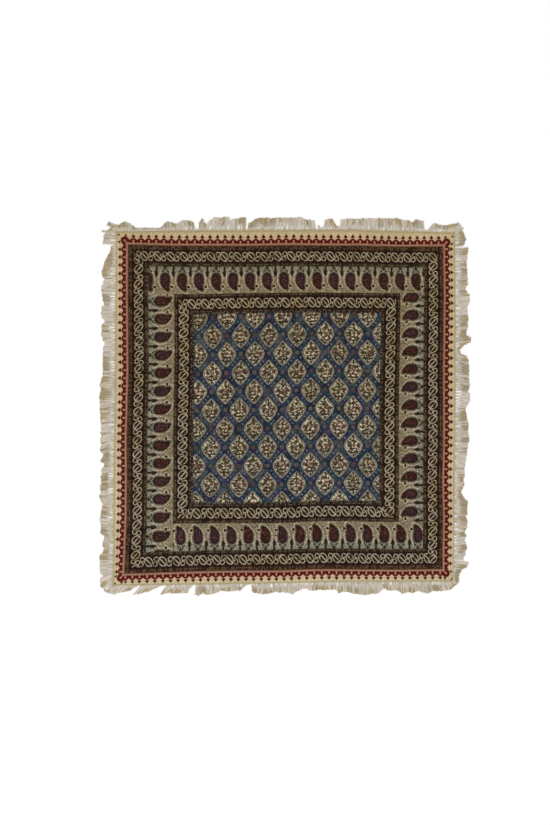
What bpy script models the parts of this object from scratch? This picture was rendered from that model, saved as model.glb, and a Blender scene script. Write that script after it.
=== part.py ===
"""Qalamkar tablecloth: a square of block-printed cotton lying flat, fringed on all four sides.

The cloth with its printed hem is one flat sheet. Each side has its own fringe: a narrow
heading strip along the hem, with locks of soft cotton yarn that lie flat beside it. The locks
bunch into tufts, sweep to one side in places, fan out at the corners and leave the few gaps
of a fringe that has been washed and laid out by hand.

Units are metres and +Z is up. The origin is under the middle of the whole piece, at the
level of the surface that it lies on.
"""

import math
from typing import NamedTuple

import bmesh
import bpy
from mathutils import Vector

MM = 0.001

# Overall size, over the tips of the fringe
WIDTH = 1010.0 * MM
LENGTH = 1026.0 * MM

CLOTH_THICK = 1.2 * MM
SEAM_GAP = 0.3 * MM

HEADING_WIDTH = 4.0 * MM
HEADING_THICK = 1.6 * MM

LOCK_PITCH = 12.4 * MM
LOCK_ROOT_WIDTH = 9.0 * MM
LOCK_KNEE_WIDTH = 8.0 * MM
LOCK_TIP_WIDTH = 6.2 * MM
LOCK_TIP_THICK = 1.2 * MM
TUFT_PITCH = 31.0 * MM
TUFT_GATHER = 0.30

# How far along a lock its bend lies, and how much of its lean it has there
KNEE_PLACE = 0.45
KNEE_LEAN = 0.34

# Tips that would touch are moved apart until they are this clear of each other
TIP_CLEARANCE = 2.4 * MM
SPREAD_ROUNDS = 30

# The ends of a section are a little shorter than its middle, and no two locks are quite equal
SHOULDER_DROP = 0.12
UNEVEN_REACH = 0.035
UNEVEN_STEP = 2.4


class Hem(NamedTuple):
    """One point of the cloth's edge, in millimetres."""

    x: float
    y: float


class Section(NamedTuple):
    """One run of fringe, in millimetres: its stretch of hem, its reach and its sideways lean."""

    start: float
    end: float
    reach: float
    start_lean: float
    end_lean: float


class Side(NamedTuple):
    """One side of the cloth: which way it faces, its edge and the sections of its fringe."""

    name: str
    out: Vector
    along: Vector
    hem: list
    sections: list


# The four corners of the hem: hand-cut, so not quite square
TOP_LEFT = Hem(-454, 470)
TOP_RIGHT = Hem(456, 467)
BOTTOM_RIGHT = Hem(452, -471)
BOTTOM_LEFT = Hem(-462, -482)

TOP = Side(
    name="fringe_top",
    out=Vector((0, 1, 0)),
    along=Vector((1, 0, 0)),
    hem=[
        TOP_LEFT,
        Hem(-283, 472),
        Hem(-175, 473),
        Hem(40, 474),
        Hem(175, 474),
        Hem(310, 470),
        TOP_RIGHT,
    ],
    sections=[
        #       start   end  reach  start_lean  end_lean
        Section(-457, -440,    28,        -24,       -8),
        Section(-435, -410,    25,          6,       -7),
        Section(-406, -334,     8,          0,        0),
        Section(-328, -253,    30,         -9,       -6),
        Section(-232, -222,    35,          2,        2),
        Section(-215, -103,    38,         10,        0),
        Section(-97,    88,    40,          4,       -2),
        Section(106,   137,    35,          7,       -5),
        Section(144,   372,    36,          2,       -5),
        Section(390,   420,    27,         10,        4),
        Section(426,   458,    32,          9,       28),
    ],
)

BOTTOM = Side(
    name="fringe_bottom",
    out=Vector((0, -1, 0)),
    along=Vector((1, 0, 0)),
    hem=[
        BOTTOM_LEFT,
        Hem(-300, -480),
        Hem(-120, -478),
        Hem(100, -473),
        Hem(300, -472),
        BOTTOM_RIGHT,
    ],
    sections=[
        #       start   end  reach  start_lean  end_lean
        Section(-465, -408,    28,        -30,      -24),
        Section(-400, -342,    35,        -20,      -24),
        Section(-320, -252,    30,        -17,       -7),
        Section(-240, -222,    33,         -2,        3),
        Section(-214, -204,    31,         10,       10),
        Section(-188, -112,    23,         -7,        3),
        Section(-92,    30,    29,          3,       -2),
        Section(35,     60,    15,          2,        0),
        Section(64,    140,    23,          0,        1),
        Section(144,   262,    34,          2,        0),
        Section(267,   306,    24,          1,       -3),
        Section(312,   370,    33,          2,        1),
        Section(376,   440,    32,          0,        2),
        Section(444,   456,    17,          4,        9),
    ],
)

LEFT = Side(
    name="fringe_left",
    out=Vector((-1, 0, 0)),
    along=Vector((0, 1, 0)),
    hem=[
        BOTTOM_LEFT,
        Hem(-461, -300),
        Hem(-460, -190),
        Hem(-457, 0),
        Hem(-456, 250),
        TOP_LEFT,
    ],
    sections=[
        #       start   end  reach  start_lean  end_lean
        Section(-484, -464,    40,        -20,       -6),
        Section(-458, -390,    46,         -3,        5),
        Section(-384, -346,    29,          0,        0),
        Section(-342, -162,    41,          4,       -6),
        Section(-155, -134,    41,         -6,      -12),
        Section(-127,   74,    42,         -9,        4),
        Section(79,    166,    37,          1,        0),
        Section(171,   226,    39,          3,       -4),
        Section(232,   276,    41,          3,        0),
        Section(281,   344,    39,          0,        0),
        Section(348,   394,    36,         -2,       -9),
        Section(398,   422,    20,         -9,      -13),
        Section(430,   452,    38,         -1,        3),
        Section(456,   472,    30,          5,       14),
    ],
)

RIGHT = Side(
    name="fringe_right",
    out=Vector((1, 0, 0)),
    along=Vector((0, 1, 0)),
    hem=[
        BOTTOM_RIGHT,
        Hem(454, -350),
        Hem(456, -150),
        Hem(458, 60),
        Hem(458, 250),
        TOP_RIGHT,
    ],
    sections=[
        #       start   end  reach  start_lean  end_lean
        Section(-469, -446,    15,         -9,        0),
        Section(-440, -420,    38,         -3,       -5),
        Section(-414, -398,    27,          0,        0),
        Section(-393, -340,    36,          2,        0),
        Section(-335, -296,    38,          1,       -2),
        Section(-291, -256,    39,         -3,       -7),
        Section(-250, -216,    21,          2,       -3),
        Section(-211, -156,    31,          4,        0),
        Section(-152,  -10,    38,          0,        2),
        Section(-6,    142,    39,          2,      -13),
        Section(153,   186,    49,         12,        1),
        Section(191,   212,    31,         -2,        0),
        Section(217,   256,    37,          2,        0),
        Section(261,   306,    40,          1,       -1),
        Section(310,   321,    28,          0,        0),
        Section(325,   426,    35,          0,        2),
        Section(431,   468,    33,          7,       26),
    ],
)

SIDES = [TOP, RIGHT, BOTTOM, LEFT]

PRINTED_COTTON = (0.18, 0.11, 0.07, 1.0)
FRINGE_YARN = (0.66, 0.56, 0.40, 1.0)


class Lock(NamedTuple):
    """One lock of yarn, in metres: where it starts, how far it reaches and how much it leans."""

    root: float
    reach: float
    lean: float


def clear_scene():
    """Remove the objects that the scene opens with."""
    for thing in list(bpy.data.objects):
        bpy.data.objects.remove(thing)


def fabric(name, colour, roughness):
    """Return a matt cloth material."""
    material = bpy.data.materials.new(name)
    material.use_nodes = True
    shader = material.node_tree.nodes["Principled BSDF"]
    shader.inputs["Base Color"].default_value = colour
    shader.inputs["Roughness"].default_value = roughness
    shader.inputs["Metallic"].default_value = 0.0
    return material


def finish(name, shape, material):
    """Turn a bmesh into a named object with its faces pointing out."""
    bmesh.ops.recalc_face_normals(shape, faces=shape.faces)
    mesh = bpy.data.meshes.new(name)
    shape.to_mesh(mesh)
    shape.free()
    mesh.materials.append(material)
    piece = bpy.data.objects.new(name, mesh)
    bpy.context.scene.collection.objects.link(piece)
    return piece


def thick_sheet(shape, outline, thickness):
    """Fill a flat outline at the surface's level and raise it to its thickness."""
    bottom = shape.faces.new([shape.verts.new(point) for point in outline])
    raised = bmesh.ops.extrude_face_region(shape, geom=[bottom], use_keep_orig=True)
    top_verts = [part for part in raised["geom"] if isinstance(part, bmesh.types.BMVert)]
    bmesh.ops.translate(shape, verts=top_verts, vec=(0, 0, thickness))


def hem_line(side):
    """Return the side's edge as pairs of place along it and distance out, in metres."""
    points = [Vector((point.x, point.y, 0)) * MM for point in side.hem]
    return [(point.dot(side.along), point.dot(side.out)) for point in points]


def hem_distance(line, place):
    """Return how far out the edge lies at a place, straight between its points."""
    for (start, near), (end, far) in zip(line, line[1:]):
        if place <= end:
            break
    share = (place - start) / (end - start)
    return near + share * (far - near)


def locks_of(section, first):
    """Place the locks of one section, bunched into tufts; first counts the locks before it."""
    start = section.start * MM
    length = section.end * MM - start
    count = max(1, round(length / LOCK_PITCH))
    tuft = length / max(1, round(length / TUFT_PITCH))
    locks = []
    for index in range(count):
        share = (index + 0.5) / count
        root = start + share * length
        tuft_middle = start + (math.floor(share * length / tuft) + 0.5) * tuft
        off_middle = 2 * share - 1
        uneven = UNEVEN_REACH * math.sin(UNEVEN_STEP * (first + index))
        fullness = 1 - SHOULDER_DROP * off_middle ** 4 + uneven
        sweep = section.start_lean + share * (section.end_lean - section.start_lean)
        lean = fullness * sweep * MM + TUFT_GATHER * (tuft_middle - root)
        locks.append(Lock(root, fullness * section.reach * MM, lean))
    return locks


def spread_tips(locks):
    """Return the locks with their tips moved apart wherever two of them would touch."""
    tips = [lock.root + lock.lean for lock in locks]
    apart = LOCK_TIP_WIDTH + TIP_CLEARANCE
    for _ in range(SPREAD_ROUNDS):
        for index in range(len(tips) - 1):
            overlap = apart - (tips[index + 1] - tips[index])
            if overlap > 0:
                tips[index] -= overlap / 2
                tips[index + 1] += overlap / 2
    return [Lock(lock.root, lock.reach, tip - lock.root) for lock, tip in zip(locks, tips)]


def locks_of_side(side):
    """Place every lock of one side, in order along it."""
    locks = []
    for section in side.sections:
        locks.extend(locks_of(section, first=len(locks)))
    return spread_tips(locks)


def heading_outline(side, line, locks):
    """Return the heading's outline and the corners in it where each lock is rooted.

    The inner wall runs beside the hem and the outer wall carries the roots. Both ends are
    mitred, a seam gap short of the corner's diagonal, so that two headings meet there.
    """
    outer = SEAM_GAP + HEADING_WIDTH

    def at(place, distance):
        return side.along * place + side.out * distance

    def mitred(index, distance):
        place, edge = line[index]
        outwards = distance - SEAM_GAP
        return at(place + (outwards if index else -outwards), edge + distance)

    inner_wall = [mitred(0, SEAM_GAP)]
    inner_wall += [at(place, edge + SEAM_GAP) for place, edge in line[1:-1]]
    inner_wall.append(mitred(-1, SEAM_GAP))

    outer_wall = [mitred(-1, outer)]
    roots = []
    for lock in reversed(locks):
        roots.append(len(inner_wall) + len(outer_wall))
        for place in (lock.root + LOCK_ROOT_WIDTH / 2, lock.root - LOCK_ROOT_WIDTH / 2):
            outer_wall.append(at(place, hem_distance(line, place) + outer))
    outer_wall.append(mitred(0, outer))
    return inner_wall + outer_wall, list(reversed(roots))


def outer_face(shape, corner):
    """Return the upright face of the heading between one outline corner and the next."""
    edge = shape.edges.get((shape.verts[corner], shape.verts[corner + 1]))
    return min(edge.link_faces, key=lambda face: abs(face.normal.z))


def grow(shape, face, side, place, distance, width, thickness):
    """Extrude one end face of a lock to its next cross-section and return the new end face."""
    middle = face.calc_center_median().dot(side.along)
    grown = bmesh.ops.extrude_discrete_faces(shape, faces=[face])["faces"][0]
    for vert in grown.verts:
        sideways = math.copysign(width / 2, vert.co.dot(side.along) - middle)
        height = thickness if vert.co.z > HEADING_THICK / 2 else 0.0
        vert.co = side.along * (place + sideways) + side.out * distance
        vert.co.z = height
    return grown


def make_fringe(side, material):
    """Make one side's fringe: its heading strip with the locks grown out of it."""
    line = hem_line(side)
    locks = locks_of_side(side)
    outline, roots = heading_outline(side, line, locks)
    farthest = (LENGTH if side.out.y else WIDTH) / 2

    shape = bmesh.new()
    thick_sheet(shape, outline, HEADING_THICK)
    shape.verts.ensure_lookup_table()
    shape.normal_update()
    walls = [outer_face(shape, corner) for corner in roots]
    for lock, wall in zip(locks, walls):
        edge = hem_distance(line, lock.root)
        tip = min(edge + lock.reach, farthest)
        outer_wall = edge + SEAM_GAP + HEADING_WIDTH
        knee = outer_wall + KNEE_PLACE * (tip - outer_wall)
        knee_at = lock.root + KNEE_LEAN * lock.lean
        end = grow(shape, wall, side, knee_at, knee, LOCK_KNEE_WIDTH, HEADING_THICK)
        grow(shape, end, side, lock.root + lock.lean, tip, LOCK_TIP_WIDTH, LOCK_TIP_THICK)
    return finish(side.name, shape, material)


def make_cloth(material):
    """Make the cloth with its hem: one flat sheet with the hand-cut outline."""
    outline = TOP.hem[:-1] + RIGHT.hem[:0:-1] + BOTTOM.hem[:0:-1] + LEFT.hem[:-1]
    shape = bmesh.new()
    thick_sheet(shape, [Vector((point.x, point.y, 0)) * MM for point in outline], CLOTH_THICK)
    return finish("cloth", shape, material)


def main():
    """Build the tablecloth."""
    clear_scene()
    make_cloth(fabric("printed_cotton", PRINTED_COTTON, 0.9))
    yarn = fabric("fringe_yarn", FRINGE_YARN, 0.85)
    for side in SIDES:
        make_fringe(side, yarn)


main()
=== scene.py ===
"""The look of a fringed qalamkar tablecloth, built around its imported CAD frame.

The cloth is one thin sheet of hand block-printed cotton. Its print is drawn in shader nodes, one
finish for each kind of block, on a map that follows the printed rows. The fringe is yarn.
"""

import logging
import math
import random
from dataclasses import dataclass
from enum import Enum
from typing import Iterable, Optional, Sequence, Union

import bmesh
import bpy
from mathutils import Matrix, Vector


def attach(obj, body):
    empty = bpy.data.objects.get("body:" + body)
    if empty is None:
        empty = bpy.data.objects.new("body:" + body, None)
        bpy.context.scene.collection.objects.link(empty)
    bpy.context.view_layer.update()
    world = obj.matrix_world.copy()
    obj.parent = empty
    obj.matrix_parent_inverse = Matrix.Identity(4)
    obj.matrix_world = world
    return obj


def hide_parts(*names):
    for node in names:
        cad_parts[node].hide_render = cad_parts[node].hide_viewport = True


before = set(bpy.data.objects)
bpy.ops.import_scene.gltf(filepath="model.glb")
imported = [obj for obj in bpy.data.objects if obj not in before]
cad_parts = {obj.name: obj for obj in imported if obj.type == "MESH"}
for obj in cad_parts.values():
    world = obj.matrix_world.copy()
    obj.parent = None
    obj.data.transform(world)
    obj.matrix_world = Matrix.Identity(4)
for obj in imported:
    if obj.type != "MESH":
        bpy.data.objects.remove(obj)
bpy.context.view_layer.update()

LOG = logging.getLogger("tablecloth")
MM = 0.001
COTTON_SHEEN = {
    "Roughness": 0.92, "Specular IOR Level": 0.08, "Sheen Weight": 0.03, "Sheen Roughness": 0.6,
}
YARN_SHEEN = {
    "Roughness": 0.95, "Specular IOR Level": 0.12, "Sheen Weight": 0.25, "Sheen Roughness": 0.5,
}
FLOOR_SHEEN = {"Roughness": 0.9, "Specular IOR Level": 0.1}

Knots = tuple[tuple[float, float], ...]
Strand = list[tuple[Vector, float]]


def linear(level: float) -> float:
    """Return a 0 to 255 screen level as a linear share of light."""
    share = level / 255.0
    return share / 12.92 if share <= 0.04045 else ((share + 0.055) / 1.055) ** 2.4


def read_knots(knots: Sequence[tuple[float, float]], at: float, onwards: bool = False) -> float:
    """Read a line of straight stretches at one place.

    Args:
        knots: The line's points as (place, value), in rising order of place.
        at: Where the line is read.
        onwards: Whether the end stretches go on past the ends, instead of staying level.

    Returns:
        The value there.
    """
    for (start, low), (end, high) in zip(knots, knots[1:]):
        if at <= end:
            break
    share = (at - start) / (end - start)
    if not onwards:
        share = min(1.0, max(0.0, share))
    return low + (high - low) * share


def linked(name: str, data: object) -> bpy.types.Object:
    """Return a new object in the scene that shows some data.

    Args:
        name: The object's name.
        data: Its mesh, curve, light or camera.

    Returns:
        The object, at the origin.
    """
    thing = bpy.data.objects.new(name, data)
    bpy.context.scene.collection.objects.link(thing)
    return thing


def shaped(name: str, mesh: bmesh.types.BMesh,
           materials: Iterable[bpy.types.Material]) -> bpy.types.Object:
    """Turn a bmesh into an object.

    Args:
        name: The object's name.
        mesh: Its shape, which is used up.
        materials: What its material slots hold.

    Returns:
        The object, at the origin.
    """
    data = bpy.data.meshes.new(name)
    mesh.to_mesh(data)
    mesh.free()
    for material in materials:
        data.materials.append(material)
    return linked(name, data)


class Side(Enum):
    """The four sides of the cloth, each by its quarter turn, seen with its outer edge upwards."""

    TOP = (1.0, 0.0)
    LEFT = (0.0, 1.0)
    BOTTOM = (-1.0, 0.0)
    RIGHT = (0.0, -1.0)

    def local(self, x: float, y: float) -> tuple[float, float]:
        """Return a place on the cloth as its places along this side and outwards."""
        cos, sin = self.value
        return x * cos + y * sin, y * cos - x * sin

    def world(self, along: float, out: float) -> tuple[float, float]:
        """Return a place in this side's view as its places across and up the cloth."""
        cos, sin = self.value
        return along * cos - out * sin, along * sin + out * cos


class Dye(Enum):
    """The dyes, cloths and yarns, as screen colours."""

    # Painted shade: the print is multiplied by the head colour at the top of the cloth and by white at
    # the foot.
    AGED_HEAD = (251, 246, 236)
    AGED_FOOT = (255, 255, 255)
    HEM_CREAM = (193, 177, 141)
    HALO_PINK = (198, 163, 136)
    MADDER_RED = (80, 20, 6)
    DEEP_RED = (72, 18, 4)
    ARCH_PINK = (176, 120, 104)
    BUD_BROWN = (64, 32, 6)
    LINE_PINK = (156, 116, 100)
    LINE_RUST = (112, 74, 50)
    OLIVE = (38, 29, 18)
    OLIVE_TICK = (112, 96, 72)
    PLUM = (44, 27, 15)
    PLUM_TICK = (112, 86, 62)
    BLACK = (26, 12, 6)
    BLACK_TICK = (70, 46, 34)
    BROWN_TICK = (124, 114, 94)
    CHAIN_CREAM = (166, 152, 130)
    CHAIN_YELLOW = (158, 142, 106)
    CHAIN_LEAF = (42, 32, 12)
    GROUND_WARM = (127, 115, 91)
    GROUND_COOL = (130, 130, 116)
    GROUND_YELLOW = (129, 121, 89)
    GROUND_SPECK = (62, 50, 32)
    BOTEH_RING = (182, 164, 142)
    BOTEH_EDGE = (34, 20, 8)
    BOTEH_RED = (56, 22, 18)
    BOTEH_PLUM = (56, 30, 40)
    BOTEH_SPECK = (122, 84, 80)
    LEAF_GREEN = (38, 30, 18)
    SPRIG_GREEN = (36, 35, 18)
    NAVY = (25, 33, 62)
    TEAL = (30, 62, 72)
    BAND_GREY = (82, 86, 80)
    VIOLET = (66, 54, 84)
    SPOT_BLUE = (98, 104, 118)
    BAND_DARK = (30, 30, 32)
    MEDAL_LINE = (158, 160, 148)
    MEDAL_GROUND = (208, 196, 168)
    MEDAL_SHADE = (188, 176, 146)
    MEDAL_BEAD = (48, 42, 34)
    FLOWER_RUST = (94, 58, 48)
    FLOWER_BROWN = (78, 56, 36)
    FLOWER_OLIVE = (74, 68, 38)
    FLOWER_PINK = (146, 122, 108)
    STEM_BROWN = (42, 33, 25)
    ROSE_PINK = (98, 84, 84)
    ROSE_GREEN = (92, 94, 78)
    ROSE_DARK = (70, 40, 32)
    BACK_CLOTH = (150, 136, 108)
    YARN_CREAM = (184, 170, 134)
    YARN_GREY = (206, 196, 182)
    YARN_TAN = (172, 152, 112)
    YARN_OLIVE = (162, 150, 120)
    FLOOR = (254, 254, 254)

    @property
    def rgba(self) -> tuple[float, ...]:
        """The colour as Blender's linear red, green, blue and alpha."""
        return (*(linear(level) for level in self.value), 1.0)


class Graph:
    """A new material's nodes, written as arithmetic."""

    def __init__(self, name: str) -> None:
        """Start the material.

        Args:
            name: The material's name.
        """
        self.material = bpy.data.materials.new(name)
        self.material.use_nodes = True
        self.tree = self.material.node_tree
        self.tree.nodes.clear()
        self.where = self.node("TexCoord", {}).outputs["Object"]

    def node(self, kind: str, feeds: dict[object, object], **settings: object) -> bpy.types.Node:
        """Add a node.

        Args:
            kind: Blender's name for the node's type.
            feeds: For each input, a Value, a node's output, a Dye or a constant.
            settings: Values for the node's own properties.

        Returns:
            The new node.
        """
        made = self.tree.nodes.new("ShaderNode" + kind)
        for name, value in settings.items():
            setattr(made, name, value)
        for key, value in feeds.items():
            source = value.socket if isinstance(value, Value) else value
            if isinstance(source, bpy.types.NodeSocket):
                self.tree.links.new(source, made.inputs[key])
            else:
                made.inputs[key].default_value = source.rgba if isinstance(source, Dye) else source
        return made

    def value(self, kind: str, feeds: dict[object, object], **settings: object) -> "Value":
        """Return what a new node works out."""
        return Value(self, self.node(kind, feeds, **settings).outputs[0])

    def math(self, operation: str, *terms: "Number", clamp: bool = False) -> "Value":
        """Return one step of arithmetic, kept from 0 to 1 where clamp says so."""
        return self.value("Math", dict(enumerate(terms)), operation=operation, use_clamp=clamp)

    def parts(self, triple: object, kind: str = "Color") -> tuple["Value", ...]:
        """Return the three numbers of a colour, or of a vector where kind is XYZ."""
        made = self.node("Separate" + kind, {0: triple})
        return tuple(Value(self, output) for output in made.outputs)

    def blend(self, under: object, over: object, share: "Number") -> bpy.types.NodeSocket:
        """Return a colour with a share of another laid over it."""
        return self.node("Mix", {0: share, 6: under, 7: over}, data_type="RGBA").outputs[2]

    def scaled(self, colour: object, by: "Value") -> bpy.types.NodeSocket:
        """Return a colour made lighter or darker."""
        return self.node("VectorMath", {0: colour, "Scale": by}, operation="SCALE").outputs[0]

    def cloud(self, scale: float, detail: float = 1.0) -> "Value":
        """Return soft noise of so many clouds a metre, with finer layers in it."""
        return self.value("TexNoise", {"Vector": self.where, "Scale": scale, "Detail": detail})

    def clouds(self, scale: float) -> tuple["Value", ...]:
        """Return three soft noises of so many clouds a metre."""
        made = self.node("TexNoise", {"Vector": self.where, "Scale": scale, "Detail": 1.0})
        return self.parts(made.outputs["Color"])

    def chance(self, *block: "Number") -> tuple["Value", ...]:
        """Return three numbers from 0 to 1 drawn for one block, the same all over it."""
        spot = self.node("CombineXYZ", dict(enumerate(block))).outputs[0]
        return self.parts(self.node("TexWhiteNoise", {"Vector": spot}).outputs["Color"])

    def bump(self, height: "Value", strength: float, distance: float) -> bpy.types.NodeSocket:
        """Return the surface's direction over a relief that is distance metres high."""
        feeds = {"Height": height, "Strength": strength, "Distance": distance}
        return self.node("Bump", feeds).outputs[0]

    def surface(self, looks: dict[str, object]) -> bpy.types.Material:
        """Return the finished material, with the looks that its shader's inputs take."""
        self.node("OutputMaterial", {0: self.node("BsdfPrincipled", looks).outputs[0]})
        return self.material


@dataclass(frozen=True, eq=False)
class Value:
    """A number that a material works out at each point, used like any other number.

    A shape is the distance to its line in mm, below 0 inside. | joins two shapes and & keeps
    what lies in both.
    """

    graph: Graph
    socket: bpy.types.NodeSocket

    def __add__(self, other: "Number") -> "Value":
        """Return the sum."""
        return self.graph.math("ADD", self, other)

    def __sub__(self, other: "Number") -> "Value":
        """Return the difference."""
        return self.graph.math("SUBTRACT", self, other)

    def __rsub__(self, other: "Number") -> "Value":
        """Return the difference from a plain number."""
        return self.graph.math("SUBTRACT", other, self)

    def __mul__(self, other: "Number") -> "Value":
        """Return the product."""
        return self.graph.math("MULTIPLY", self, other)

    def __abs__(self) -> "Value":
        """Return the number without its sign."""
        return self.graph.math("ABSOLUTE", self)

    def __or__(self, other: "Number") -> "Value":
        """Return the smaller number, which joins two shapes."""
        return self.graph.math("MINIMUM", self, other)

    def __and__(self, other: "Number") -> "Value":
        """Return the larger number, which keeps what two shapes share."""
        return self.graph.math("MAXIMUM", self, other)

    def times_plus(self, by: "Number", plus: "Number") -> "Value":
        """Return the number times one, plus another."""
        return self.graph.math("MULTIPLY_ADD", self, by, plus)

    def over(self, other: "Number") -> "Value":
        """Return the quotient."""
        return self.graph.math("DIVIDE", self, other)

    def power(self, other: "Number") -> "Value":
        """Return the number raised to a power."""
        return self.graph.math("POWER", self, other)

    def wave(self) -> "Value":
        """Return the sine."""
        return self.graph.math("SINE", self)

    def floor(self) -> "Value":
        """Return the whole number below."""
        return self.graph.math("FLOOR", self)

    def part(self, pitch: float, middle: float = 0.5) -> "Value":
        """Return the mm from the middle of a repeat, where the number counts repeats."""
        return self.graph.math("FRACT", self).times_plus(pitch, -pitch * middle)

    def rise(self, low: float, high: float) -> "Value":
        """Return a smooth rise from 0 at low to 1 at high."""
        feeds = {"Value": self, "From Min": low, "From Max": high}
        return self.graph.value("MapRange", feeds, interpolation_type="SMOOTHSTEP")

    def inside(self, fade: float = 1.0) -> "Value":
        """Return 1 inside the shape and 0 outside, fading over some mm at its line."""
        return self.graph.math("MULTIPLY_ADD", self, -1.0 / fade, 0.5, clamp=True)


Number = Union[Value, float]


@dataclass(frozen=True)
class Place:
    """A point in a block's own frame, in mm, and the shapes that are drawn around it."""

    x: Value
    y: Value

    def seen_from(self, x: float, y: float) -> "Place":
        """Return the point as seen from a new middle."""
        return Place(self.x - x, self.y - y)

    def folded(self, at: float = 0.0) -> "Place":
        """Return the point with left laid on right."""
        return Place(abs(self.x - at if at else self.x), self.y)

    def turned(self, degrees: float) -> "Place":
        """Return the point in a frame turned anticlockwise."""
        cos, sin = math.cos(math.radians(degrees)), math.sin(math.radians(degrees))
        return Place(self.x.times_plus(cos, self.y * sin), self.x.times_plus(-sin, self.y * cos))

    def shaken(self, by: Sequence[Value], width: float) -> "Place":
        """Return the point moved each way by a number from 0 to 1, over a width in all."""
        across, up = (part.times_plus(width, -width / 2.0) for part in by[:2])
        return Place(self.x + across, self.y + up)

    def reach(self) -> Value:
        """Return the distance from the middle."""
        return self.x.graph.math("SQRT", self.x.times_plus(self.x, self.y * self.y))

    def rounded(self, power: Value) -> Value:
        """Return the distance from the middle on ovals that a power makes fuller or leaner."""
        joined = self.x.power(power) + self.y.power(power)
        return joined.power(power.graph.math("DIVIDE", 1.0, power))

    def angle(self) -> Value:
        """Return the direction from the middle, in radians."""
        return self.x.graph.math("ARCTAN2", self.y, self.x)

    def disc(self, radius: float) -> Value:
        """Return a round spot."""
        return self.reach() - radius

    def oval(self, across: float, up: float) -> Value:
        """Return an oval by its half width and half height."""
        shrunk = Place(self.x * (1.0 / across), self.y * (1.0 / up))
        return shrunk.reach().times_plus(min(across, up), -min(across, up))

    def flower(self, radius: float, depth: float = 0.22) -> Value:
        """Return a flower of five petals, its notches a share of the radius deep."""
        lobes = (self.angle() * 5.0).wave()
        return self.reach() - lobes.times_plus(radius * depth, radius)

    def seeds(self, pitch: float, radius: float) -> tuple[Value, Value]:
        """Strew small seeds, as a block's filling has between its flowers.

        Args:
            pitch: About how far the seeds are apart.
            radius: A seed's radius.

        Returns:
            The seeds' shape, and a number drawn for the nearest one.
        """
        graph = self.x.graph
        chart = graph.node("CombineXYZ", {0: self.x * (1.0 / pitch), 1: self.y * (1.0 / pitch)})
        feeds = {"Vector": chart.outputs[0], "Scale": 1.0, "Randomness": 0.85}
        strewn = graph.node("TexVoronoi", feeds, voronoi_dimensions="2D")
        away = Value(graph, strewn.outputs["Distance"])
        return away.times_plus(pitch, -radius), graph.parts(strewn.outputs["Color"])[0]


@dataclass
class Ink:
    """A print's colour at a point, laid down stamp by stamp."""

    graph: Graph
    colour: object = Dye.BLACK

    def lay(self, dye: object, share: Number) -> None:
        """Lay a share of a dye over all that is there."""
        self.colour = self.graph.blend(self.colour, dye, share)

    def stamp(self, dye: object, shape: Value, fade: float = 1.0,
              share: Optional[Number] = None) -> None:
        """Print a shape in a dye or a colour, its line fading over some mm, in full or in a share."""
        inked = shape.inside(fade)
        self.lay(dye, inked if share is None else inked * share)


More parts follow.
